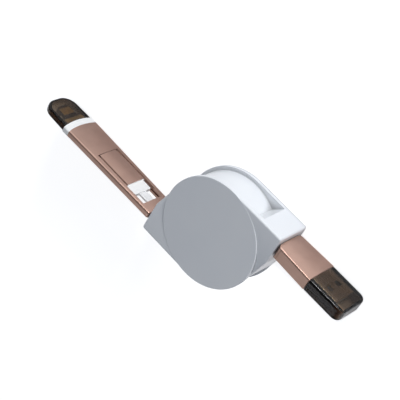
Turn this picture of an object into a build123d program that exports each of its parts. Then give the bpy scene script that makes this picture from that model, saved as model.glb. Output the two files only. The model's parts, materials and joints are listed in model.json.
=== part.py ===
from build123d import *
from math import cos, radians, sin
import os

os.makedirs("parts", exist_ok=True)

# Retractable charging cable lying on its rear cover.
# The reel's axis is Z, both cables leave along X, and every plug is wide along Z.

# Reel housing
reel_r = 22.5
reel_h = 17.2
front_flange_t = 2.4
rear_flange_t = 2.2
flange_lip = 1.5
drum_t = 1.4
rim_round = 0.25
rim_under_round = 0.6
seam_gap = 0.05
skirt_h = 1.2
skirt_t = 1.0

# Outlet blocks, one on each side of the reel
block_reach = 2.8
block_len = 10.55
block_drop = 7.15
block_corner_r = 3.5
block_flank_deg = -5.0
block_root_deg = 60.0
block_edge_round = 0.8
block_top_round = 1.0
facet_step = 0.05
facet_r = 170.0

# Flat cable
cable_w = 4.2
cable_t = 1.0
cable_edge_r = 0.35
roll_bevel = 0.35
channel_gap = 0.35
lead_gap = 0.4
line_rise = 0.8

# Spool
spool_gap = 1.2
spool_end_gap = 0.6
spool_flange_t = 0.9
spool_side_gap = 0.3
roll_margin = 2.65
hub_r = 6.1
hub_wall = 1.2
hub_floor = 1.0
cup_r = 13.0
cup_t = 1.0
turn_gap = 0.1

# Lock track and ball
ball_r = 1.0
ball_shift = 0.6
ball_gap = 0.1
track_r = 10.0
track_depth = 0.9
track_plate_t = 0.5
track_rim = 2.2
notch_count = 6
guide_gap = 0.4
guide_t = 1.2

# Axle and screw
axle_r = 2.0
axle_gap = 0.05
axle_seat = 0.7
boss_t = 1.4
fit_gap = 0.02
screw_r = 0.75
screw_len = 5.0
screw_head_r = 2.2
screw_head_h = 0.8
screw_sink = 0.1
screw_drive_w = 0.6
screw_drive_len = 2.8

# Recoil spring
spring_turns = 6
spring_t = 0.25
spring_gap = 0.2

# Plug sections shared by both ends
plug_w = 16.5
plug_root_w = 14.7
crown_spread = 1.1
plug_gap = 0.2
cap_gap = 0.2

# Wide plug
sleeve_len = 17.25
sleeve_t = 6.3
sleeve_crown = 0.5
sleeve_wall = 0.7
sleeve_back = 1.6
sleeve_root_r = 2.2
sleeve_r = 0.7
sleeve_edge = 0.2
core_set = 0.35
shell_w = 12.0
shell_t = 4.5
shell_wall = 0.3
shell_r = 0.5
shell_out = 12.2
shell_root = 6.0
shell_window_w = 2.3
shell_window_len = 2.5
shell_window_pitch = 5.4
shell_window_set = 6.4
tongue_t = 1.9
tongue_set = 0.8
contact_w = 1.0
contact_t = 0.15
contact_len = 8.0
contact_inner = 1.0
contact_outer = 3.5
usb_cap_len = 16.95
usb_cap_corner_r = 3.2
usb_cap_round = 1.1
usb_cap_end_t = 1.0
cap_fit = 0.22

# Two-in-one plug
frame_len = 50.0
frame_t = 3.4
frame_crown = 0.36
frame_round = 0.8
frame_root_r = 1.0
end_bar = 5.3
window_len = 28.2
window_w = 11.4
rail_groove_d = 0.6
rail_groove_h = 1.2
slide_gap = 0.2
bar_slot_gap = 0.3

body_front_gap = 0.12
body_len = 22.6
body_t = 2.3
panel_len = 17.5
panel_proud = 0.15
panel_inset = 0.7
panel_crown = 0.4
panel_wall = 0.4
panel_r = 0.6
panel_edge = 0.12
tail_t = 1.5
tail_grip = 2.0

micro_w = 6.85
micro_t = 1.85
micro_wall = 0.25
micro_chamfer = 0.5
micro_out = 5.2
micro_root = 3.0
micro_tongue_t = 0.5
micro_contact_w = 0.4
micro_contact_t = 0.08
micro_contact_pitch = 0.65
micro_contact_len = 4.0

socket_gap = 0.1
socket_wall = 0.25
socket_len = 6.2
socket_set = 0.2
board_w = 10.4
board_t = 0.8
board_tab_gap = 0.8
board_room = 0.5

ring_len = 3.0
ring_bow = 1.0
tab_w = 6.9
tab_t = 1.5
tab_out = 9.5
tab_root = 2.6
tab_corner_r = 1.6
tab_edge = 0.3
tab_notch_r = 0.6
tab_notch_set = 4.2
shoulder_w = 10.0
shoulder_t = 2.0
shoulder_len = 2.3
pad_count = 8
pad_pitch = 0.72
pad_w = 0.46
pad_len = 3.6
pad_t = 0.06
pad_set = 1.3
tab_cap_len = 13.2
tab_cap_w = 15.6
tab_cap_tip_w = 14.6
tab_cap_corner_r = 5.8
tab_cap_round = 0.9
tab_cap_end_t = 1.0
tab_cap_wall = 1.4
tab_cap_room = 0.2

# Levels and radii that follow from the sizes above
line_z = reel_h / 2 + line_rise
front_in_z = reel_h - front_flange_t
drum_r = reel_r - flange_lip
drum_in_r = drum_r - drum_t
spool_r = drum_in_r - spool_gap
roll_r = spool_r - roll_margin
line_y = roll_r + lead_gap + cable_t / 2
bore_r = axle_r + axle_gap

reel_low_z = line_z - cable_w / 2 - spool_side_gap
reel_top_z = line_z + cable_w / 2 + spool_side_gap
cup_top_z = reel_low_z - spool_flange_t
cup_low_z = rear_flange_t + spool_end_gap
lid_top_z = reel_top_z + spool_flange_t + track_plate_t
track_in_r = track_r - ball_r - ball_shift - ball_gap
track_out_r = track_r + ball_r + ball_shift + ball_gap
track_low_z = lid_top_z - track_depth
ball_z = track_low_z + ball_gap + ball_r
guide_low_z = lid_top_z + guide_gap

block_end_x = reel_r + block_reach
block_low_y = line_y - block_drop
flank_x = reel_r * cos(radians(block_flank_deg))
flank_y = reel_r * sin(radians(block_flank_deg))

plug_low_z = line_z - plug_w / 2
plug_high_z = line_z + plug_w / 2
sleeve_x = block_end_x + plug_gap
sleeve_end_x = sleeve_x + sleeve_len
core_x = sleeve_x + sleeve_back
core_t = sleeve_t - 2 * sleeve_wall
core_w = plug_root_w - 2 * sleeve_wall
shell_end_x = sleeve_end_x + shell_out
shell_low_y = line_y - shell_t / 2
usb_cap_x = sleeve_end_x + cap_gap

frame_x = -block_end_x - plug_gap
frame_end_x = frame_x - frame_len
window_x = frame_x - end_bar
window_end_x = window_x - window_len
body_x = window_end_x + body_front_gap
tail_x = body_x + body_len
panel_end_x = body_x + panel_len
panel_w = window_w - 2 * (slide_gap + panel_inset)
body_w = panel_w - 2 * panel_wall
runner_t = rail_groove_h - 2 * slide_gap
socket_w = micro_w + 2 * socket_gap
socket_t = micro_t + 2 * socket_gap
socket_x = window_end_x - socket_set
socket_end_x = socket_x - socket_len
board_x = socket_end_x - socket_set
board_len = board_x - socket_set - (frame_end_x + tab_root + board_tab_gap)
ring_x = frame_end_x - ring_len
tab_end_x = ring_x - tab_out
tab_cap_x = ring_x - cap_gap
tab_cap_end_x = tab_cap_x - tab_cap_len
bow_r = (plug_w**2 / 4 + ring_bow**2) / (2 * ring_bow)

right_plane = Plane.XZ.offset(-line_y)
left_plane = Plane.XZ.offset(line_y)


# Section of a plug whose two broad faces are crowned
def crowned_section(centre_y, thickness, crown, width):
    near = centre_y - thickness / 2
    far = centre_y + thickness / 2
    low = line_z - crown_spread * width / 2
    high = line_z + crown_spread * width / 2
    with BuildSketch() as section:
        with BuildLine():
            ThreePointArc((far - crown, low), (far, line_z), (far - crown, high))
            Line((far - crown, high), (near + crown, high))
            ThreePointArc((near + crown, high), (near, line_z), (near + crown, low))
            Line((near + crown, low), (far - crown, low))
        make_face()
    return section.sketch


wide_section = crowned_section(line_y, sleeve_t, sleeve_crown, plug_w)
flat_section = crowned_section(-line_y, frame_t, frame_crown, plug_w)
panel_section = crowned_section(-line_y, frame_t + 2 * panel_proud, panel_crown, panel_w)

# One outlet ear, from the reel's centre out to the block's end
with BuildSketch() as ear_outline:
    with BuildLine():
        Polyline(
            (0, 0),
            (0, reel_r),
            (block_end_x, reel_r),
            (block_end_x, block_low_y),
            (flank_x, flank_y),
            close=True,
        )
    make_face()
    fillet(ear_outline.vertices().sort_by_distance((block_end_x, block_low_y))[0], radius=block_corner_r)
    fillet(ear_outline.vertices().sort_by_distance((block_end_x, reel_r))[0], radius=block_top_round)

# One outlet block with its sloping front facet, for both sides
with BuildPart() as outlet_block:
    with BuildSketch(Plane.XY.offset(rear_flange_t)):
        add(ear_outline.sketch)
    extrude(amount=reel_h - rear_flange_t)
    with BuildSketch(Plane.YZ):
        with Locations((reel_r, reel_h)):
            Rectangle(2 * facet_r, reel_h)
        with Locations((reel_r, reel_h - facet_step - facet_r)):
            Circle(facet_r, mode=Mode.SUBTRACT)
    extrude(amount=2 * block_end_x, mode=Mode.SUBTRACT)
    facet_face = outlet_block.faces().sort_by(Axis.Z)[-1]
    facet_edges = facet_face.edges().filter_by(lambda e: e.center().X > flank_x or e.center().Y > line_y)
    fillet(facet_edges, radius=block_edge_round)
    with BuildSketch(Plane.XY.offset(rear_flange_t)):
        Circle(drum_r + seam_gap)
        with BuildLine():
            Polyline(
                (0, 0),
                (drum_r * cos(radians(block_root_deg)), drum_r * sin(radians(block_root_deg))),
                (block_end_x - block_len, reel_r),
                (block_end_x - block_len, 2 * reel_r),
                (-reel_r, 2 * reel_r),
                close=True,
            )
        make_face()
    extrude(amount=front_in_z - rear_flange_t, mode=Mode.SUBTRACT)
    side_edges = outlet_block.edges().filter_by(Axis.X).group_by(Axis.Y)[-1]
    fillet(side_edges.filter_by(lambda e: abs(e.center().Z - front_in_z) < seam_gap), radius=rim_under_round)

# Front cover: round flange, both blocks, locating skirt, axle boss and ball guide
with BuildPart() as front_cover:
    with BuildSketch(Plane.XY.offset(front_in_z)):
        Circle(reel_r)
    extrude(amount=front_flange_t)
    fillet(front_cover.edges().group_by(Axis.Z)[-1], radius=rim_round)
    fillet(front_cover.edges().group_by(Axis.Z)[0], radius=rim_under_round)
    with PolarLocations(0, 2):
        add(outlet_block.part)
    with BuildSketch(Plane.XY.offset(front_in_z)):
        Circle(drum_in_r - seam_gap)
        Circle(drum_in_r - seam_gap - skirt_t, mode=Mode.SUBTRACT)
    extrude(amount=-skirt_h)
    with BuildSketch(Plane.XY.offset(front_in_z)):
        Circle(axle_r + boss_t)
        with Locations((track_r, 0)):
            SlotOverall(
                2 * (ball_r + ball_shift + ball_gap + guide_t),
                2 * (ball_r + ball_gap + guide_t),
            )
            SlotOverall(
                2 * (ball_r + ball_shift + ball_gap),
                2 * (ball_r + ball_gap),
                mode=Mode.SUBTRACT,
            )
    extrude(amount=guide_low_z - front_in_z)
    with BuildSketch(Plane.XY.offset(guide_low_z)):
        Circle(axle_r + fit_gap)
    extrude(amount=front_in_z + axle_seat - guide_low_z, mode=Mode.SUBTRACT)
    with PolarLocations(0, 2):
        with Locations((block_end_x, line_y, line_z)):
            Box(
                block_end_x,
                cable_t + 2 * channel_gap,
                cable_w + 2 * channel_gap,
                align=(Align.MAX, Align.CENTER, Align.CENTER),
                mode=Mode.SUBTRACT,
            )
front_cover.part.label = "front_cover"
export_step(front_cover.part, "parts/front_cover.step")

# Rear cover: flange with both ears, drum wall, axle boss and screw recess
with BuildPart() as rear_cover:
    with BuildSketch():
        Circle(reel_r)
        with PolarLocations(0, 2):
            add(ear_outline.sketch)
    extrude(amount=rear_flange_t)
    fillet(rear_cover.edges().group_by(Axis.Z)[0], radius=rim_under_round)
    with BuildSketch(Plane.XY.offset(rear_flange_t)):
        Circle(drum_r)
        Circle(drum_in_r, mode=Mode.SUBTRACT)
    extrude(amount=front_in_z - rear_flange_t)
    with BuildSketch(Plane.XY.offset(rear_flange_t)):
        Circle(axle_r + boss_t)
    extrude(amount=spool_end_gap / 2)
    with Locations((0, 0, rear_flange_t - axle_seat)):
        Cylinder(
            axle_r + fit_gap,
            reel_h,
            align=(Align.CENTER, Align.CENTER, Align.MIN),
            mode=Mode.SUBTRACT,
        )
    with Locations((0, 0, 0)):
        Cylinder(
            screw_head_r + spool_side_gap,
            screw_sink + screw_head_h,
            align=(Align.CENTER, Align.CENTER, Align.MIN),
            mode=Mode.SUBTRACT,
        )
        Cylinder(
            screw_r + fit_gap,
            reel_h,
            align=(Align.CENTER, Align.CENTER, Align.MIN),
            mode=Mode.SUBTRACT,
        )
    with PolarLocations(0, 2):
        with Locations((drum_r, line_y, line_z)):
            Box(
                drum_r,
                cable_t + 2 * channel_gap,
                cable_w + 2 * channel_gap,
                align=(Align.MAX, Align.CENTER, Align.CENTER),
                mode=Mode.SUBTRACT,
            )
rear_cover.part.label = "rear_cover"
export_step(rear_cover.part, "parts/rear_cover.step")

# Steel axle between the two covers
with BuildPart() as axle:
    with Locations((0, 0, rear_flange_t - axle_seat)):
        Cylinder(
            axle_r,
            front_in_z + axle_seat - (rear_flange_t - axle_seat),
            align=(Align.CENTER, Align.CENTER, Align.MIN),
        )
    chamfer(axle.edges().group_by(Axis.Z)[-1], length=seam_gap * 4)
    with Locations((0, 0, rear_flange_t - axle_seat)):
        Cylinder(
            screw_r + fit_gap,
            screw_len + fit_gap,
            align=(Align.CENTER, Align.CENTER, Align.MIN),
            mode=Mode.SUBTRACT,
        )
axle.part.label = "axle"
export_step(axle.part, "parts/axle.step")

# Screw from the rear into the axle
with BuildPart() as centre_screw:
    with Locations((0, 0, screw_sink)):
        Cylinder(screw_head_r, screw_head_h, align=(Align.CENTER, Align.CENTER, Align.MIN))
    with Locations((0, 0, screw_sink + screw_head_h)):
        Cylinder(screw_r, screw_len, align=(Align.CENTER, Align.CENTER, Align.MIN))
    with BuildSketch(Plane.XY.offset(screw_sink)):
        Rectangle(screw_drive_len, screw_drive_w)
        Rectangle(screw_drive_w, screw_drive_len)
    extrude(amount=screw_head_h / 2, mode=Mode.SUBTRACT)
centre_screw.part.label = "centre_screw"
export_step(centre_screw.part, "parts/centre_screw.step")

# Spool: spring cup below, hub with a cored top above the lower flange
with BuildPart() as spool:
    with BuildSketch(Plane.XZ):
        with BuildLine():
            Polyline(
                (bore_r, cup_top_z),
                (cup_r - cup_t, cup_top_z),
                (cup_r - cup_t, cup_low_z),
                (cup_r, cup_low_z),
                (cup_r, cup_top_z),
                (spool_r, cup_top_z),
                (spool_r, reel_low_z),
                (hub_r, reel_low_z),
                (hub_r, reel_top_z),
                (hub_r - hub_wall, reel_top_z),
                (hub_r - hub_wall, reel_low_z + hub_floor),
                (bore_r + hub_wall, reel_low_z + hub_floor),
                (bore_r + hub_wall, reel_top_z),
                (bore_r, reel_top_z),
                close=True,
            )
        make_face()
    revolve(axis=Axis.Z)
spool.part.label = "spool"
export_step(spool.part, "parts/spool.step")

# Spool lid: upper flange with the ball's track and its lock notches
with BuildPart() as spool_lid:
    with BuildSketch(Plane.XZ):
        with BuildLine():
            Polyline(
                (bore_r, reel_top_z),
                (spool_r, reel_top_z),
                (spool_r, reel_top_z + spool_flange_t),
                (track_out_r + track_rim, reel_top_z + spool_flange_t),
                (track_out_r + track_rim, lid_top_z),
                (track_out_r, lid_top_z),
                (track_out_r, track_low_z),
                (track_in_r, track_low_z),
                (track_in_r, lid_top_z),
                (bore_r, lid_top_z),
                close=True,
            )
        make_face()
    revolve(axis=Axis.Z)
    with BuildSketch(Plane.XY.offset(track_low_z)):
        with PolarLocations(track_out_r, notch_count):
            Circle(ball_r + ball_gap)
    extrude(amount=track_depth, mode=Mode.SUBTRACT)
spool_lid.part.label = "spool_lid"
export_step(spool_lid.part, "parts/spool_lid.step")

# The twin-wound roll of flat cable, all turns in one solid
with BuildPart() as wound_cable:
    with BuildSketch(Plane.XY.offset(line_z - cable_w / 2)):
        Circle(roll_r)
        Circle(hub_r + turn_gap, mode=Mode.SUBTRACT)
    extrude(amount=cable_w)
    roll_rims = wound_cable.edges().filter_by(GeomType.CIRCLE).group_by(SortBy.RADIUS)[-1]
    chamfer(roll_rims, length=roll_bevel)
wound_cable.part.label = "wound_cable"
export_step(wound_cable.part, "parts/wound_cable.step")

# Flat spiral spring: half turns that grow by an even step inside the cup
spring_in_r = axle_r + spring_t + spring_gap
spring_out_r = cup_r - cup_t - spring_t
spring_step = (spring_out_r - spring_in_r) / (2 * spring_turns)
with BuildPart() as recoil_spring:
    with BuildLine(Plane.XY.offset((cup_low_z + cup_top_z) / 2)) as spring_line:
        for half_turn in range(2 * spring_turns):
            odd = half_turn % 2
            CenterArc(
                (odd * spring_step, 0),
                spring_in_r + spring_step * half_turn,
                180 * odd,
                180,
            )
    with BuildSketch(Plane(spring_line.line @ 0, x_dir=(1, 0, 0), z_dir=spring_line.line % 0)):
        Rectangle(spring_t, cup_top_z - cup_low_z - 2 * spring_gap)
    sweep()
recoil_spring.part.label = "recoil_spring"
export_step(recoil_spring.part, "parts/recoil_spring.step")

# Ball that rides in the track
with BuildPart() as locking_ball:
    with Locations((track_r, 0, ball_z)):
        Sphere(ball_r)
locking_ball.part.label = "locking_ball"
export_step(locking_ball.part, "parts/locking_ball.step")

# Flat lead from the roll to the wide plug
with BuildPart() as usb_lead:
    with BuildSketch(Plane.YZ):
        with Locations((line_y, line_z)):
            RectangleRounded(cable_t, cable_w, cable_edge_r)
    extrude(amount=core_x + tail_grip)
usb_lead.part.label = "usb_lead"
export_step(usb_lead.part, "parts/usb_lead.step")

# Metal sleeve of the wide plug: it flares from round back corners towards the cap
with BuildSketch(right_plane) as sleeve_plan:
    with BuildLine():
        Polyline(
            (sleeve_x, line_z - plug_root_w / 2),
            (sleeve_end_x, plug_low_z),
            (sleeve_end_x, plug_high_z),
            (sleeve_x, line_z + plug_root_w / 2),
            close=True,
        )
    make_face()
with BuildSketch(right_plane) as sleeve_outline:
    add(sleeve_plan.sketch)
    fillet(sleeve_outline.vertices().group_by(Axis.X)[0], radius=sleeve_root_r)
with BuildPart() as usb_sleeve:
    with BuildSketch(right_plane):
        add(sleeve_plan.sketch)
    extrude(amount=sleeve_t / 2, both=True)
    with BuildSketch(Plane.YZ):
        add(wide_section)
    extrude(amount=sleeve_end_x, mode=Mode.INTERSECT)
    sleeve_broad = usb_sleeve.faces().sort_by(Axis.Y)
    sleeve_edges = sleeve_broad[0].edges() + sleeve_broad[-1].edges()
    sleeve_mid_x = (sleeve_x + sleeve_end_x) / 2
    fillet(sleeve_edges.filter_by(lambda e: abs(e.center().X - sleeve_mid_x) < sleeve_edge), radius=sleeve_r)
    with BuildSketch(right_plane):
        add(sleeve_outline.sketch)
    extrude(amount=sleeve_t, both=True, mode=Mode.INTERSECT)
    chamfer(usb_sleeve.edges().group_by(Axis.X)[-1], length=sleeve_edge)
    with BuildSketch(Plane.YZ.offset(core_x)):
        with Locations((line_y, line_z)):
            RectangleRounded(core_t, core_w, sleeve_r / 2)
    extrude(amount=sleeve_len, mode=Mode.SUBTRACT)
    with BuildSketch(Plane.YZ.offset(sleeve_x)):
        with Locations((line_y, line_z)):
            Rectangle(cable_t + 2 * channel_gap, cable_w + 2 * channel_gap)
    extrude(amount=sleeve_back, mode=Mode.SUBTRACT)
usb_sleeve.part.label = "usb_sleeve"
export_step(usb_sleeve.part, "parts/usb_sleeve.step")

# Moulded core that fills the sleeve, with the cable slot behind and the shell's seat in front
with BuildPart() as usb_core:
    with BuildSketch(Plane.YZ.offset(core_x + fit_gap)):
        with Locations((line_y, line_z)):
            RectangleRounded(core_t - 2 * fit_gap, core_w - 2 * fit_gap, sleeve_r / 2)
    extrude(amount=sleeve_end_x - core_set - core_x - fit_gap)
    with BuildSketch(Plane.YZ.offset(core_x)):
        with Locations((line_y, line_z)):
            Rectangle(cable_t + 2 * fit_gap, cable_w + 2 * fit_gap)
    extrude(amount=tail_grip + fit_gap, mode=Mode.SUBTRACT)
    with BuildSketch(Plane.YZ.offset(sleeve_end_x - shell_root)):
        with Locations((line_y, line_z)):
            Rectangle(sleeve_t, shell_w + 2 * fit_gap)
    extrude(amount=shell_root, mode=Mode.SUBTRACT)
usb_core.part.label = "usb_core"
export_step(usb_core.part, "parts/usb_core.step")

# Stamped shell of the wide plug, with its latch windows
with BuildPart() as usb_shell:
    with BuildSketch(Plane.YZ.offset(sleeve_end_x - shell_root + fit_gap)):
        with Locations((line_y, line_z)):
            RectangleRounded(shell_t, shell_w, shell_r)
            RectangleRounded(
                shell_t - 2 * shell_wall,
                shell_w - 2 * shell_wall,
                shell_r - shell_wall / 2,
                mode=Mode.SUBTRACT,
            )
    extrude(amount=shell_root - fit_gap + shell_out)
    with BuildSketch(right_plane):
        with Locations((sleeve_end_x + shell_window_set, line_z)):
            with GridLocations(0, shell_window_pitch, 1, 2):
                Rectangle(shell_window_len, shell_window_w)
    extrude(amount=shell_t, both=True, mode=Mode.SUBTRACT)
usb_shell.part.label = "usb_shell"
export_step(usb_shell.part, "parts/usb_shell.step")

# Insulator on the shell's lower wall
tongue_low_y = shell_low_y + shell_wall + fit_gap
with BuildPart() as usb_tongue:
    with BuildSketch(Plane.YZ.offset(sleeve_end_x - shell_root + fit_gap)):
        with Locations((tongue_low_y + tongue_t / 2, line_z)):
            RectangleRounded(tongue_t, shell_w - 2 * shell_wall - 2 * fit_gap, shell_r)
    extrude(amount=shell_root - fit_gap + shell_out - tongue_set)
usb_tongue.part.label = "usb_tongue"
export_step(usb_tongue.part, "parts/usb_tongue.step")

# Four contact strips on the insulator
with BuildPart() as usb_contacts:
    with BuildSketch(Plane.XZ.offset(-tongue_low_y - tongue_t)):
        for strip_z in (-contact_outer, -contact_inner, contact_inner, contact_outer):
            with Locations((shell_end_x - 2 * tongue_set, line_z + strip_z)):
                Rectangle(contact_len, contact_w, align=(Align.MAX, Align.CENTER))
    extrude(amount=-contact_t)
usb_contacts.part.label = "usb_contacts"
export_step(usb_contacts.part, "parts/usb_contacts.step")

# Smoked cap over the wide plug, round at its far corners
with BuildPart() as usb_cap:
    with BuildSketch(right_plane) as usb_cap_plan:
        with Locations((usb_cap_x, line_z)):
            Rectangle(usb_cap_len, plug_w, align=(Align.MIN, Align.CENTER))
        fillet(usb_cap_plan.vertices().group_by(Axis.X)[-1], radius=usb_cap_corner_r)
    extrude(amount=sleeve_t / 2, both=True)
    with BuildSketch(Plane.YZ.offset(usb_cap_x)):
        add(wide_section)
    extrude(amount=usb_cap_len, mode=Mode.INTERSECT)
    usb_cap_broad = usb_cap.faces().sort_by(Axis.Y)
    usb_cap_edges = usb_cap_broad[0].edges() + usb_cap_broad[-1].edges()
    fillet(usb_cap_edges.filter_by(lambda e: e.center().X > usb_cap_x + fit_gap), radius=usb_cap_round)
    with BuildSketch(Plane.YZ.offset(usb_cap_x)):
        with Locations((line_y, line_z)):
            RectangleRounded(shell_t + 2 * cap_fit, shell_w + 2 * cap_fit, shell_r)
    extrude(amount=usb_cap_len - usb_cap_end_t, mode=Mode.SUBTRACT)
usb_cap.part.label = "usb_cap"
export_step(usb_cap.part, "parts/usb_cap.step")

# Metal frame of the two-in-one plug: rails, end bar and hollow front
with BuildPart() as adapter_frame:
    with BuildSketch(left_plane) as frame_plan:
        with BuildLine():
            Polyline(
                (frame_x, line_z - plug_root_w / 2),
                (frame_end_x, plug_low_z),
                (frame_end_x, plug_high_z),
                (frame_x, line_z + plug_root_w / 2),
                close=True,
            )
        make_face()
        fillet(frame_plan.vertices().group_by(Axis.X)[-1], radius=frame_root_r)
    extrude(amount=frame_t / 2, both=True)
    with BuildSketch(Plane.YZ):
        add(flat_section)
    extrude(amount=frame_end_x, mode=Mode.INTERSECT)
    frame_broad = adapter_frame.faces().sort_by(Axis.Y)
    frame_edges = frame_broad[0].edges() + frame_broad[-1].edges()
    fillet(frame_edges.filter_by(lambda e: e.center().X > frame_end_x + fit_gap), radius=frame_round)
    with BuildSketch(left_plane):
        with Locations((frame_end_x + bow_r, line_z)):
            Circle(bow_r)
    extrude(amount=frame_t, both=True, mode=Mode.INTERSECT)
    with BuildSketch(left_plane):
        with Locations((window_x, line_z)):
            Rectangle(window_len, window_w, align=(Align.MAX, Align.CENTER))
    extrude(amount=frame_t, both=True, mode=Mode.SUBTRACT)
    with BuildSketch(left_plane):
        with Locations((window_x, line_z)):
            Rectangle(window_len, window_w + 2 * rail_groove_d, align=(Align.MAX, Align.CENTER))
    extrude(amount=rail_groove_h / 2, both=True, mode=Mode.SUBTRACT)
    with BuildSketch(Plane.YZ.offset(window_x)):
        with Locations((-line_y, line_z)):
            Rectangle(cable_t + 2 * bar_slot_gap, cable_w + 2 * bar_slot_gap)
    extrude(amount=end_bar, mode=Mode.SUBTRACT)
    with BuildSketch(Plane.YZ.offset(window_end_x)):
        with Locations((-line_y, line_z)):
            Rectangle(socket_t + 2 * socket_wall + 2 * fit_gap, socket_w + 2 * socket_wall + 2 * fit_gap)
    extrude(amount=board_x - window_end_x, mode=Mode.SUBTRACT)
    with BuildSketch(Plane.YZ.offset(board_x)):
        with Locations((-line_y, line_z)):
            Rectangle(tab_t + board_room, board_w + board_room)
    extrude(amount=frame_end_x - board_x, mode=Mode.SUBTRACT)
adapter_frame.part.label = "adapter_frame"
export_step(adapter_frame.part, "parts/adapter_frame.step")

# Plug body: runners in the rail grooves, seat for the small shell, and a tail that grips the cable
with BuildPart() as micro_body:
    with BuildSketch(left_plane):
        with Locations((body_x, line_z)):
            Rectangle(panel_len, body_w, align=(Align.MIN, Align.CENTER))
    extrude(amount=body_t / 2, both=True)
    with BuildSketch(left_plane):
        with Locations((body_x, line_z)):
            Rectangle(
                panel_len,
                window_w + 2 * rail_groove_d - 2 * slide_gap,
                align=(Align.MIN, Align.CENTER),
            )
    extrude(amount=runner_t / 2, both=True)
    with BuildSketch(left_plane) as tail_plan:
        with Locations((panel_end_x, line_z)):
            Rectangle(tail_x - panel_end_x, panel_w, align=(Align.MIN, Align.CENTER))
        fillet(tail_plan.vertices().group_by(Axis.X)[-1], radius=panel_r)
    extrude(amount=tail_t / 2, both=True)
    with BuildSketch(Plane.YZ.offset(tail_x - tail_grip)):
        with Locations((-line_y, line_z)):
            Rectangle(cable_t + 2 * fit_gap, cable_w + 2 * fit_gap)
    extrude(amount=tail_grip, mode=Mode.SUBTRACT)
    with BuildSketch(Plane.YZ.offset(body_x)):
        with Locations((-line_y, line_z)):
            Rectangle(micro_t + 2 * fit_gap, micro_w + 2 * fit_gap)
    extrude(amount=micro_root, mode=Mode.SUBTRACT)
micro_body.part.label = "micro_body"
export_step(micro_body.part, "parts/micro_body.step")

# Crowned face panels that wrap both sides of the plug body down to its runners
panel_t = frame_t / 2 + panel_proud
with BuildPart() as micro_panel:
    with BuildSketch(left_plane):
        with Locations(((body_x + panel_end_x) / 2, line_z)):
            RectangleRounded(panel_len - 2 * fit_gap, panel_w, panel_r)
    extrude(amount=panel_t, both=True)
    with BuildSketch(Plane.YZ.offset(body_x)):
        add(panel_section)
    extrude(amount=panel_len, mode=Mode.INTERSECT)
    panel_broad = micro_panel.faces().sort_by(Axis.Y)
    chamfer(panel_broad[0].edges() + panel_broad[-1].edges(), length=panel_edge)
    with BuildSketch(Plane.YZ.offset(body_x)):
        with Locations((-line_y, line_z)):
            Rectangle(body_t + 2 * fit_gap, body_w + 2 * fit_gap)
            Rectangle(runner_t + 2 * fit_gap, plug_w)
    extrude(amount=panel_len, mode=Mode.SUBTRACT)
micro_panel.part.label = "micro_panel"
export_step(micro_panel.part, "parts/micro_panel.step")

# Small shell with two bevelled corners
with BuildPart() as micro_shell:
    with BuildSketch(Plane.YZ.offset(body_x + micro_root - fit_gap)) as micro_section:
        with Locations((-line_y, line_z)):
            Rectangle(micro_t, micro_w)
        chamfer(micro_section.vertices().group_by(Axis.X)[0], length=micro_chamfer)
        offset(amount=-micro_wall, mode=Mode.SUBTRACT)
    extrude(amount=-(micro_root - fit_gap + micro_out))
micro_shell.part.label = "micro_shell"
export_step(micro_shell.part, "parts/micro_shell.step")

# Insulator inside the small shell
micro_tongue_y = -line_y + micro_t / 2 - micro_wall - fit_gap
with BuildPart() as micro_tongue:
    with BuildSketch(Plane.YZ.offset(body_x + micro_root - fit_gap)):
        with Locations((micro_tongue_y, line_z)):
            Rectangle(
                micro_tongue_t,
                micro_w - 2 * micro_wall - 2 * fit_gap,
                align=(Align.MAX, Align.CENTER),
            )
    extrude(amount=-(micro_root - fit_gap + micro_out - micro_wall))
micro_tongue.part.label = "micro_tongue"
export_step(micro_tongue.part, "parts/micro_tongue.step")

# Five contact strips under that insulator
with BuildPart() as micro_contacts:
    with BuildSketch(Plane.XZ.offset(-micro_tongue_y + micro_tongue_t)):
        with Locations((body_x - micro_out + 2 * micro_wall, line_z)):
            with GridLocations(0, micro_contact_pitch, 1, 5):
                Rectangle(micro_contact_len, micro_contact_w, align=(Align.MIN, Align.CENTER))
    extrude(amount=micro_contact_t)
micro_contacts.part.label = "micro_contacts"
export_step(micro_contacts.part, "parts/micro_contacts.step")

# Flat lead from the roll through the end bar to the plug body's tail
with BuildPart() as micro_lead:
    with BuildSketch(Plane.YZ):
        with Locations((-line_y, line_z)):
            RectangleRounded(cable_t, cable_w, cable_edge_r)
    extrude(amount=tail_x - tail_grip)
micro_lead.part.label = "micro_lead"
export_step(micro_lead.part, "parts/micro_lead.step")

# Receptacle shell in the frame that takes the small plug
with BuildPart() as adapter_socket:
    with BuildSketch(Plane.YZ.offset(socket_x)):
        with Locations((-line_y, line_z)):
            Rectangle(socket_t + 2 * socket_wall, socket_w + 2 * socket_wall)
            Rectangle(socket_t, socket_w, mode=Mode.SUBTRACT)
    extrude(amount=-socket_len)
adapter_socket.part.label = "adapter_socket"
export_step(adapter_socket.part, "parts/adapter_socket.step")

# Circuit board between the socket and the tab
with BuildPart() as adapter_board:
    with BuildSketch(left_plane):
        with Locations((board_x - socket_set, line_z)):
            Rectangle(board_len, board_w, align=(Align.MAX, Align.CENTER))
    extrude(amount=board_t / 2, both=True)
adapter_board.part.label = "adapter_board"
export_step(adapter_board.part, "parts/adapter_board.step")

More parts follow.
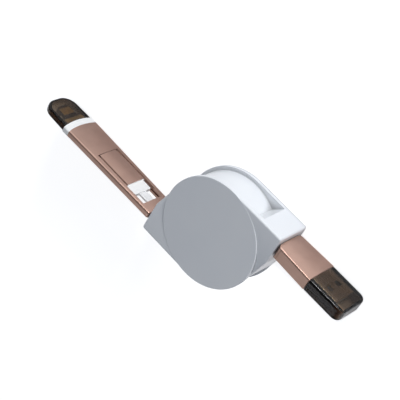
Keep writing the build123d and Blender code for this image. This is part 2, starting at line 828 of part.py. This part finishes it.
# White bezel at the frame's front end
with BuildPart() as adapter_ring:
    with BuildSketch(left_plane):
        with Locations((frame_end_x + ring_bow, line_z)):
            Rectangle(ring_len + ring_bow, plug_w, align=(Align.MAX, Align.CENTER))
    extrude(amount=frame_t / 2, both=True)
    with BuildSketch(Plane.YZ):
        add(flat_section)
    extrude(amount=ring_x, mode=Mode.INTERSECT)
    ring_broad = adapter_ring.faces().sort_by(Axis.Y)
    ring_edges = ring_broad[0].edges() + ring_broad[-1].edges()
    fillet(ring_edges.filter_by(lambda e: abs(e.center().Z - line_z) > plug_w / 4), radius=frame_round)
    with BuildSketch(left_plane):
        with Locations((ring_x + bow_r, line_z)):
            Circle(bow_r)
    extrude(amount=frame_t, both=True, mode=Mode.INTERSECT)
    with BuildSketch(left_plane):
        with Locations((frame_end_x + bow_r, line_z)):
            Circle(bow_r)
    extrude(amount=frame_t, both=True, mode=Mode.SUBTRACT)
    with BuildSketch(Plane.YZ.offset(frame_end_x + ring_bow)):
        with Locations((-line_y, line_z)):
            Rectangle(tab_t + 2 * fit_gap, tab_w + 2 * fit_gap)
    extrude(amount=-ring_len - ring_bow, mode=Mode.SUBTRACT)
adapter_ring.part.label = "adapter_ring"
export_step(adapter_ring.part, "parts/adapter_ring.step")

# Flat metal tab with its shoulder, rounded tip and side notches
with BuildPart() as adapter_tab:
    with BuildSketch(left_plane) as tab_plan:
        with Locations((frame_end_x + tab_root, line_z)):
            Rectangle(tab_root + ring_len + tab_out, tab_w, align=(Align.MAX, Align.CENTER))
        fillet(tab_plan.vertices().group_by(Axis.X)[0], radius=tab_corner_r)
        for side in (-1, 1):
            with Locations((tab_end_x + tab_notch_set, line_z + side * tab_w / 2)):
                Circle(tab_notch_r, mode=Mode.SUBTRACT)
    extrude(amount=tab_t / 2, both=True)
    with BuildSketch(left_plane) as shoulder_plan:
        with Locations((ring_x, line_z)):
            Rectangle(shoulder_len, shoulder_w, align=(Align.MAX, Align.CENTER))
        fillet(shoulder_plan.vertices().group_by(Axis.X)[0], radius=tab_edge)
    extrude(amount=shoulder_t / 2, both=True)
adapter_tab.part.label = "adapter_tab"
export_step(adapter_tab.part, "parts/adapter_tab.step")

# Contact pads on both faces of the tab
with BuildPart() as tab_pads:
    for side in (-1, 1):
        with BuildSketch(left_plane.offset(side * tab_t / 2)):
            with Locations((tab_end_x + pad_set, line_z)):
                with GridLocations(0, pad_pitch, 1, pad_count):
                    Rectangle(pad_len, pad_w, align=(Align.MIN, Align.CENTER))
        extrude(amount=side * pad_t)
tab_pads.part.label = "tab_pads"
export_step(tab_pads.part, "parts/tab_pads.step")

# Smoked cap over the tab, narrowing to a round tip
with BuildPart() as adapter_cap:
    with BuildSketch(left_plane) as tab_cap_plan:
        with BuildLine():
            Polyline(
                (tab_cap_x + ring_bow, line_z - tab_cap_w / 2),
                (tab_cap_end_x, line_z - tab_cap_tip_w / 2),
                (tab_cap_end_x, line_z + tab_cap_tip_w / 2),
                (tab_cap_x + ring_bow, line_z + tab_cap_w / 2),
                close=True,
            )
        make_face()
        fillet(tab_cap_plan.vertices().group_by(Axis.X)[0], radius=tab_cap_corner_r)
    extrude(amount=frame_t / 2, both=True)
    with BuildSketch(Plane.YZ):
        add(flat_section)
    extrude(amount=tab_cap_end_x, mode=Mode.INTERSECT)
    tab_cap_broad = adapter_cap.faces().sort_by(Axis.Y)
    tab_cap_edges = tab_cap_broad[0].edges() + tab_cap_broad[-1].edges()
    fillet(tab_cap_edges.filter_by(lambda e: e.center().X < tab_cap_x), radius=tab_cap_round)
    with BuildSketch(left_plane):
        with Locations((tab_cap_x + bow_r, line_z)):
            Circle(bow_r)
    extrude(amount=frame_t, both=True, mode=Mode.SUBTRACT)
    with BuildSketch(left_plane) as tab_cavity:
        with Locations((tab_cap_x + ring_bow, line_z)):
            Rectangle(
                tab_cap_len + ring_bow - tab_cap_end_t,
                tab_cap_tip_w - 2 * tab_cap_wall,
                align=(Align.MAX, Align.CENTER),
            )
        fillet(tab_cavity.vertices().group_by(Axis.X)[0], radius=tab_cap_corner_r - tab_cap_wall)
    extrude(amount=shoulder_t / 2 + tab_cap_room, both=True, mode=Mode.SUBTRACT)
adapter_cap.part.label = "adapter_cap"
export_step(adapter_cap.part, "parts/adapter_cap.step")
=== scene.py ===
import bpy
import bmesh
import json
import math
from mathutils import Matrix, Vector


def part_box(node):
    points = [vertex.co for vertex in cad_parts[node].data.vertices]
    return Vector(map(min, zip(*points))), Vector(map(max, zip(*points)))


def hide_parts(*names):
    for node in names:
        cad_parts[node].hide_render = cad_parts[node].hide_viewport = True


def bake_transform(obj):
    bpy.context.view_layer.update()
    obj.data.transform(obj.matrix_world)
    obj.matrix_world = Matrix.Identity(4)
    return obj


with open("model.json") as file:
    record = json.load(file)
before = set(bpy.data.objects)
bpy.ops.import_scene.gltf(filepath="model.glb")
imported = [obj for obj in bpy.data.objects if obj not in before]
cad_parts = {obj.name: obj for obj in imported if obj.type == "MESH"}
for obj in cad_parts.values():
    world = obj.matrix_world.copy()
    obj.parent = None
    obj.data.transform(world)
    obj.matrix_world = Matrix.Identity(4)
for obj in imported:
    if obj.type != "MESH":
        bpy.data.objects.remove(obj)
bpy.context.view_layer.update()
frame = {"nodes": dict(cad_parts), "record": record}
nodes = frame["nodes"]
scene = bpy.context.scene
mm = 0.001

print("frame loaded:", len(nodes), "pieces")


# node helpers

def newFinish(name):
    finish = bpy.data.materials.new(name)
    finish.use_nodes = True
    tree = finish.node_tree
    shader = tree.nodes["Principled BSDF"]
    place = tree.nodes.new("ShaderNodeTexCoord")
    return finish, tree, shader, place.outputs["Object"]


def setSockets(node, values):
    for socket, value in values.items():
        node.inputs[socket].default_value = value


def splitAxes(tree, place):
    split = tree.nodes.new("ShaderNodeSeparateXYZ")
    tree.links.new(place, split.inputs["Vector"])
    return split.outputs


def addNoise(tree, place, scale, detail, stretch=(1, 1, 1)):
    mapping = tree.nodes.new("ShaderNodeMapping")
    setSockets(mapping, {"Scale": stretch})
    noise = tree.nodes.new("ShaderNodeTexNoise")
    setSockets(noise, {"Scale": scale, "Detail": detail})
    tree.links.new(place, mapping.inputs["Vector"])
    tree.links.new(mapping.outputs["Vector"], noise.inputs["Vector"])
    return noise.outputs["Fac"]


def addRamp(tree, value, stops):
    ramp = tree.nodes.new("ShaderNodeValToRGB")
    elements = ramp.color_ramp.elements
    while len(elements) < len(stops):
        elements.new(0.5)  # each stop gets its own position below
    for element, (at, colour) in zip(elements, stops):
        element.position = at
        element.color = (*colour, 1)
    tree.links.new(value, ramp.inputs["Fac"])
    return ramp.outputs["Color"]


def addRange(tree, value, results, limits=(0, 1), fade="LINEAR"):
    span = tree.nodes.new("ShaderNodeMapRange")
    span.interpolation_type = fade
    setSockets(span, {"From Min": limits[0], "From Max": limits[1]})
    setSockets(span, {"To Min": results[0], "To Max": results[1]})
    tree.links.new(value, span.inputs["Value"])
    return span.outputs["Result"]


# each value is a socket or a plain number
def addMath(tree, operation, *values):
    step = tree.nodes.new("ShaderNodeMath")
    step.operation = operation
    for socket, value in zip(step.inputs, values):
        if isinstance(value, bpy.types.NodeSocket):
            tree.links.new(value, socket)
        else:
            socket.default_value = value
    return step.outputs["Value"]


# 1 for what the camera sees itself, in gloss or through a cap, and 0 for plain light
def seenRays(tree):
    rays = tree.nodes.new("ShaderNodeLightPath")
    seen = rays.outputs["Is Camera Ray"]
    for name in ("Is Glossy Ray", "Is Transmission Ray"):
        seen = addMath(tree, "MAXIMUM", seen, rays.outputs[name])
    return seen


# tone and grain, which most finishes share

def addTone(tree, value, look):
    low, high = look["spread"]
    return addRamp(tree, value, [(low, look["deep"]), (high, look["light"])])


def addGrain(tree, shader, place, look):
    grain = addNoise(tree, place, look["grain"], look["detail"], look.get("stretch", (1, 1, 1)))
    tree.links.new(addRange(tree, grain, look["rough"]), shader.inputs["Roughness"])
    bump = tree.nodes.new("ShaderNodeBump")
    setSockets(bump, {"Strength": look["bump"], "Distance": look["depth"]})
    tree.links.new(grain, bump.inputs["Height"])
    tree.links.new(bump.outputs["Normal"], shader.inputs["Normal"])
    return grain


# white gloss of the two covers, with painted shade in their grooves

shellLook = {
    "deep": (0.815, 0.84, 0.875),
    "light": (0.845, 0.865, 0.89),
    "spread": (0.3, 0.7),
    "cloud": 45,
    "grain": 260,
    "detail": 2,
    "rough": (0.26, 0.36),
    "bump": 0.03,
    "depth": 0.03 * mm,
    "gloss": {"IOR": 1.5, "Coat Weight": 0.1, "Coat Roughness": 0.15},
    # painted shade in the grooves: how far the occlusion looks, where it starts and ends, and the darkest
    # share of the colour kept
    "paintedShadeReach": 5 * mm,
    "paintedShadeOpen": (0.4, 0.72),
    "paintedNookShade": 0.55,
}


# painted shade: ambient occlusion darkens the base colour in the grooves beside the drum wall, so they are a
# little darker than the open faces
def addPaintedNookShade(tree, tone):
    nook = tree.nodes.new("ShaderNodeAmbientOcclusion")
    setSockets(nook, {"Distance": shellLook["paintedShadeReach"]})
    share = addRange(tree, nook.outputs["AO"], (shellLook["paintedNookShade"], 1), shellLook["paintedShadeOpen"])
    shade = tree.nodes.new("ShaderNodeVectorMath")
    shade.operation = "SCALE"
    tree.links.new(tone, shade.inputs[0])
    tree.links.new(share, shade.inputs["Scale"])
    return shade.outputs["Vector"]


def makeShellWhite():
    finish, tree, shader, place = newFinish("shellWhite")
    cloud = addNoise(tree, place, shellLook["cloud"], shellLook["detail"])
    # the base colour carries painted shade in the grooves
    tone = addPaintedNookShade(tree, addTone(tree, cloud, shellLook))
    tree.links.new(tone, shader.inputs["Base Color"])
    addGrain(tree, shader, place, shellLook)
    setSockets(shader, shellLook["gloss"])
    return finish


# rose-gold metal of the sleeve, the frame and the face panels

roseLook = {
    "deep": (0.42, 0.264, 0.21),
    "light": (0.47, 0.3, 0.24),
    "spread": (0.3, 0.7),
    "cloud": 160,
    "grain": 9000,
    "detail": 2,
    "rough": (0.33, 0.41),
    "bump": 0.12,
    "depth": 0.02 * mm,
    "gloss": {"Metallic": 1.0, "Coat Weight": 0.6, "Coat Roughness": 0.3},
}


def makeRoseMetal():
    finish, tree, shader, place = newFinish("roseMetal")
    cloud = addNoise(tree, place, roseLook["cloud"], roseLook["detail"])
    tree.links.new(addTone(tree, cloud, roseLook), shader.inputs["Base Color"])
    addGrain(tree, shader, place, roseLook)
    setSockets(shader, roseLook["gloss"])
    return finish


# smoked caps, clear at the surface and brown through their depth

smokeLook = {
    "flow": 300,
    "detail": 2,
    "rough": (0.15, 0.2),
    "ior": 1.49,
    "shine": 0.5,
    "kept": (0.36, 0.2, 0.0),
    "density": 2300,
}


def makeSmokedClear():
    finish, tree, shader, place = newFinish("smokedClear")
    setSockets(shader, {
        "Base Color": (1, 1, 1, 1),
        "IOR": smokeLook["ior"],
        "Specular Tint": (smokeLook["shine"], smokeLook["shine"], smokeLook["shine"], 1),
        "Transmission Weight": 1.0,
    })
    flow = addNoise(tree, place, smokeLook["flow"], smokeLook["detail"])
    tree.links.new(addRange(tree, flow, smokeLook["rough"]), shader.inputs["Roughness"])
    smoke = tree.nodes.new("ShaderNodeVolumeAbsorption")
    setSockets(smoke, {"Color": (*smokeLook["kept"], 1), "Density": smokeLook["density"]})
    tree.links.new(smoke.outputs["Volume"], tree.nodes["Material Output"].inputs["Volume"])
    return finish


# plastics and plain metals, each with one grain all over

plasticLook = {"spread": (0.35, 0.65), "detail": 4, "bump": 0.1, "depth": 0.03 * mm, "metal": 0.0}
metalLook = {"spread": (0.3, 0.7), "detail": 3, "bump": 0.08, "depth": 0.02 * mm, "metal": 1.0}

plainLooks = {
    "white_moulding": {
        **plasticLook, "name": "mouldingWhite", "spread": (0.3, 0.7), "detail": 3, "bump": 0.05,
        "deep": (0.9, 0.905, 0.9), "light": (0.93, 0.935, 0.93), "rough": (0.3, 0.42), "grain": 900,
    },
    "white_cable": {
        **plasticLook, "name": "cableJacket",
        "deep": (0.86, 0.865, 0.87), "light": (0.91, 0.912, 0.915), "rough": (0.45, 0.6), "grain": 2200,
    },
    "inner_plastic": {
        **plasticLook, "name": "spoolPlastic",
        "deep": (0.68, 0.68, 0.66), "light": (0.76, 0.76, 0.74), "rough": (0.45, 0.6), "grain": 1500,
    },
    "white_insulator": {
        **plasticLook, "name": "whiteInsulator",
        "deep": (0.8, 0.8, 0.78), "light": (0.86, 0.86, 0.84), "rough": (0.4, 0.55), "grain": 1800,
    },
    "black_insulator": {
        **plasticLook, "name": "blackInsulator",
        "deep": (0.02, 0.02, 0.02), "light": (0.045, 0.045, 0.045), "rough": (0.35, 0.5), "grain": 1800,
    },
    "board": {
        **plasticLook, "name": "greenLaminate",
        "deep": (0.02, 0.12, 0.06), "light": (0.04, 0.2, 0.1), "rough": (0.3, 0.5), "grain": 2600,
    },
    "plated_steel": {
        **metalLook, "name": "platedSteel", "stretch": (0.15, 1, 1),
        "deep": (0.6, 0.59, 0.57), "light": (0.72, 0.71, 0.69), "rough": (0.18, 0.3), "grain": 1600,
    },
    "spring_steel": {
        **metalLook, "name": "springSteel", "stretch": (1, 1, 0.2),
        "deep": (0.28, 0.29, 0.33), "light": (0.4, 0.41, 0.44), "rough": (0.25, 0.4), "grain": 2000,
    },
    "steel": {
        **metalLook, "name": "turnedSteel", "stretch": (1, 1, 0.3),
        "deep": (0.5, 0.5, 0.51), "light": (0.64, 0.64, 0.65), "rough": (0.2, 0.32), "grain": 2400,
    },
    "gold_contact": {
        **metalLook, "name": "goldContact", "metal": 0.4,
        "deep": (0.86, 0.66, 0.32), "light": (0.95, 0.76, 0.4), "rough": (0.35, 0.5), "grain": 2600,
    },
}


def makePlain(look):
    finish, tree, shader, place = newFinish(look["name"])
    grain = addGrain(tree, shader, place, look)
    tree.links.new(addTone(tree, grain, look), shader.inputs["Base Color"])
    setSockets(shader, {"Metallic": look["metal"]})
    return finish


finishes = {
    "white_shell": makeShellWhite(),
    "rose_metal": makeRoseMetal(),
    "smoked_cap": makeSmokedClear(),
}
for slot, look in plainLooks.items():
    finishes[slot] = makePlain(look)

for entry in frame["record"]["subparts"]:
    piece = nodes[entry["node"]]
    piece.data.materials.clear()
    piece.data.materials.append(finishes[entry["material_slot"]])


# the flat tab is dark round its pads, with bright plate on the shoulder beside the ring

tabLook = {
    **metalLook,
    "dark": (0.2, 0.19, 0.185),
    "plate": (0.92, 0.8, 0.56),
    "shoulder": 2.3 * mm,
    "blend": 0.1 * mm,
    "rough": (0.3, 0.42),
    "grain": 1800,
    "stretch": (0.2, 1, 1),
}


def makeTabSteel():
    finish, tree, shader, place = newFinish("tabSteel")
    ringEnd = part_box("adapter_ring")[0][0]
    shoulder = ringEnd - tabLook["shoulder"]
    along = addRange(tree, splitAxes(tree, place)["X"], (0, 1), (shoulder - tabLook["blend"], shoulder))
    tone = addRamp(tree, along, [(0, tabLook["dark"]), (1, tabLook["plate"])])
    tree.links.new(tone, shader.inputs["Base Color"])
    addGrain(tree, shader, place, tabLook)
    setSockets(shader, {"Metallic": tabLook["metal"]})
    return finish


nodes["adapter_tab"].data.materials[0] = makeTabSteel()
print("finishes set:", len(finishes) + 1)


# flat leads from the reel to each plug

leadLook = {
    "edge": 0.35 * mm,
    "groove": 0.14 * mm,
    "grooveWidth": 0.45 * mm,
    "facePoints": 15,
    "cornerPoints": 5,
    "stations": 120,
    "holdsTo": 13 * mm,  # a place along a lead, by the reel
    "freeFrom": 25.3 * mm,  # a place along a lead, by its plug
}


def leadSection(thick, width):
    edge = leadLook["edge"]
    flat = width / 2 - edge
    count = leadLook["facePoints"]
    face = []
    for step in range(count):
        z = (2 * step / (count - 1) - 1) * flat
        dip = leadLook["groove"] * math.exp(-((z / leadLook["grooveWidth"]) ** 2))
        face.append((thick / 2 - dip, z))
    turns = [math.pi / 2 * step / leadLook["cornerPoints"] for step in range(1, leadLook["cornerPoints"])]
    high = [(thick / 2 - edge + edge * math.cos(turn), flat + edge * math.sin(turn)) for turn in turns]
    half = face + high + [(-y, z) for y, z in reversed(high)]
    return half + [(-y, -z) for y, z in half]


def makeLead(name, node):
    low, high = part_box(node)
    middleY, middleZ = (low[1] + high[1]) / 2, (low[2] + high[2]) / 2
    near, far = sorted((low[0], high[0]), key=abs)
    section = leadSection(high[1] - low[1], high[2] - low[2])
    form = bmesh.new()
    rings = []
    for step in range(leadLook["stations"] + 1):
        x = near + (far - near) * step / leadLook["stations"]
        rings.append([form.verts.new((x, middleY + y, middleZ + z)) for y, z in section])
    for one, two in zip(rings, rings[1:]):
        for spot in range(len(section)):
            after = (spot + 1) % len(section)
            form.faces.new((one[spot], one[after], two[after], two[spot])).smooth = True
    form.faces.new(rings[0])
    form.faces.new(rings[-1])
    bmesh.ops.recalc_face_normals(form, faces=form.faces)
    mesh = bpy.data.meshes.new(name)
    form.to_mesh(mesh)
    form.free()
    mesh.materials.append(finishes["white_cable"])
    lead = bpy.data.objects.new(name, mesh)
    scene.collection.objects.link(lead)
    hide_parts(node)
    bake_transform(lead)


makeLead("wideLead", "usb_lead")
makeLead("smallLead", "micro_lead")
print("leads laid")


# paper floor

floorLook = {
    "size": 8.0,
    "colour": (0.86, 0.86, 0.87),
    "lift": 0.74,
    # painted shade near the plugs and a painted falloff from right to left, in the glow that gloss and caps
    # see
    "paintedNearShadeLift": 0.22,
    "nearTo": 8 * mm,
    "farFrom": 21 * mm,
    "paintedLeftShade": 0.8,
    "paintedRightLight": 1.45,
    "sideReach": 70 * mm,
}


# painted shade and light in the paper's glow: in gloss and through the caps the paper glows less close to
# the plugs and on the left, away from the key lamp, and more on the right; the camera sees no less than the
# plain lift
def addPaperLiftWithPaintedShade(tree):
    place = tree.nodes.new("ShaderNodeTexCoord")
    axes = splitAxes(tree, place.outputs["Object"])
    rightLine = sum(corner[1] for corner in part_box("usb_sleeve")) / 2
    plugLine = addMath(tree, "MULTIPLY", addMath(tree, "SIGN", axes["X"]), rightLine)
    away = addMath(tree, "ABSOLUTE", addMath(tree, "SUBTRACT", axes["Y"], plugLine))
    lifts = (floorLook["paintedNearShadeLift"], floorLook["lift"])
    near = addRange(tree, away, lifts, (floorLook["nearTo"], floorLook["farFrom"]))
    shares = (floorLook["paintedLeftShade"], floorLook["paintedRightLight"])
    paintedSideFalloff = addRange(tree, axes["X"], shares, (-floorLook["sideReach"], floorLook["sideReach"]))
    rays = tree.nodes.new("ShaderNodeLightPath")
    plain = addMath(tree, "MULTIPLY", rays.outputs["Is Camera Ray"], floorLook["lift"])
    return addMath(tree, "MAXIMUM", plain, addMath(tree, "MULTIPLY", near, paintedSideFalloff))


def makeFloor():
    half = floorLook["size"] / 2
    corners = [(-half, -half, 0), (half, -half, 0), (half, half, 0), (-half, half, 0)]
    mesh = bpy.data.meshes.new("studioFloor")
    mesh.from_pydata(corners, [], [(0, 1, 2, 3)])
    floor = bpy.data.objects.new("studioFloor", mesh)
    scene.collection.objects.link(floor)
    finish = bpy.data.materials.new("palePaper")
    finish.use_nodes = True
    tree = finish.node_tree
    tree.nodes.clear()
    out = tree.nodes.new("ShaderNodeOutputMaterial")
    paper = tree.nodes.new("ShaderNodeBsdfDiffuse")
    setSockets(paper, {"Color": (*floorLook["colour"], 1)})
    glow = tree.nodes.new("ShaderNodeEmission")
    # the glow strength carries the painted shade and light near the plugs and across the floor
    lift = addMath(tree, "MULTIPLY", seenRays(tree), addPaperLiftWithPaintedShade(tree))
    tree.links.new(lift, glow.inputs["Strength"])
    both = tree.nodes.new("ShaderNodeAddShader")
    tree.links.new(paper.outputs[0], both.inputs[0])
    tree.links.new(glow.outputs[0], both.inputs[1])
    tree.links.new(both.outputs[0], out.inputs["Surface"])
    mesh.materials.append(finish)


# sky: an even fill for plain light, and a fade from white to grey that gloss and caps show

skyLook = {
    "fill": (0.92, 0.97, 1.06),
    "fillStrength": 0.285,
    "shown": [
        (0.0, (1, 1, 1)),
        (0.18, (1, 1, 1)),
        (0.6, (0.255, 0.26, 0.27)),
        (0.8, (0.235, 0.24, 0.25)),
        (0.93, (0.2, 0.2, 0.205)),
    ],
    "softbox": {"towards": (-0.05, -0.6, 0.8), "fadeFrom": 0.95, "fullFrom": 0.985, "gain": 6.5},
}


# a softbox above the far side, seen in the narrow sides of the right plug and its cap
def addSoftbox(tree, place):
    box = skyLook["softbox"]
    facing = tree.nodes.new("ShaderNodeVectorMath")
    facing.operation = "DOT_PRODUCT"
    facing.inputs[1].default_value = Vector(box["towards"]).normalized()
    tree.links.new(place, facing.inputs[0])
    limits = (box["fadeFrom"], box["fullFrom"])
    return addRange(tree, facing.outputs["Value"], (1, box["gain"]), limits, "SMOOTHSTEP")


def makeSky():
    world = bpy.data.worlds.new("studioSky")
    scene.world = world
    world.use_nodes = True
    tree = world.node_tree
    tree.nodes.clear()
    out = tree.nodes.new("ShaderNodeOutputWorld")
    fill = tree.nodes.new("ShaderNodeBackground")
    setSockets(fill, {"Color": (*skyLook["fill"], 1), "Strength": skyLook["fillStrength"]})
    shown = tree.nodes.new("ShaderNodeBackground")
    place = tree.nodes.new("ShaderNodeTexCoord").outputs["Generated"]
    tree.links.new(addRamp(tree, splitAxes(tree, place)["Z"], skyLook["shown"]), shown.inputs["Color"])
    tree.links.new(addSoftbox(tree, place), shown.inputs["Strength"])
    mix = tree.nodes.new("ShaderNodeMixShader")
    tree.links.new(seenRays(tree), mix.inputs["Fac"])
    tree.links.new(fill.outputs[0], mix.inputs[1])
    tree.links.new(shown.outputs[0], mix.inputs[2])
    tree.links.new(mix.outputs[0], out.inputs["Surface"])


# low soft lamps on the camera's side, which light the drum wall and the tops of the blocks

lampLook = {
    "key": {
        "towards": (0.36, 0.93, 0.1), "reach": 1.3, "size": 0.8, "watts": 9.8, "colour": (0.98, 0.99, 1.0),
    },
    "edge": {
        "towards": (-0.1, 0.965, 0.2), "reach": 1.2, "size": 0.25, "watts": 5.2, "colour": (0.98, 0.99, 1.0),
    },
}


def makeLamps():
    for name, look in lampLook.items():
        lamp = bpy.data.lights.new(name + "Lamp", "AREA")
        lamp.size = look["size"]
        lamp.energy = look["watts"]
        lamp.color = look["colour"]
        holder = bpy.data.objects.new(name + "Lamp", lamp)
        towards = Vector(look["towards"]).normalized()
        holder.location = towards * look["reach"]
        holder.rotation_euler = towards.to_track_quat("Z", "Y").to_euler()
        holder.visible_camera = False
        scene.collection.objects.link(holder)


# camera at the photograph's place, measured against the round front cover

cameraLook = {
    "at": (139.28 * mm, 299.44 * mm, 372.0 * mm),
    "right": (0.66256, 0.41785, -0.62163),
    "up": (-0.68204, 0.67960, -0.27013),
    "back": (0.30958, 0.60295, 0.73526),
    "lens": 115.17,
    "sensor": 36,
    "seesTo": 50,
}


def makeCamera():
    lens = bpy.data.cameras.new("photoCamera")
    lens.lens = cameraLook["lens"]
    lens.sensor_width = cameraLook["sensor"]
    lens.clip_end = cameraLook["seesTo"]
    camera = bpy.data.objects.new("photoCamera", lens)
    turn = Matrix([cameraLook["right"], cameraLook["up"], cameraLook["back"]]).transposed()
    camera.matrix_world = Matrix.Translation(cameraLook["at"]) @ turn.to_4x4()
    scene.collection.objects.link(camera)
    scene.camera = camera


makeFloor()
makeSky()
makeLamps()
makeCamera()
scene.view_settings.view_transform = "Standard"
print("studio ready")
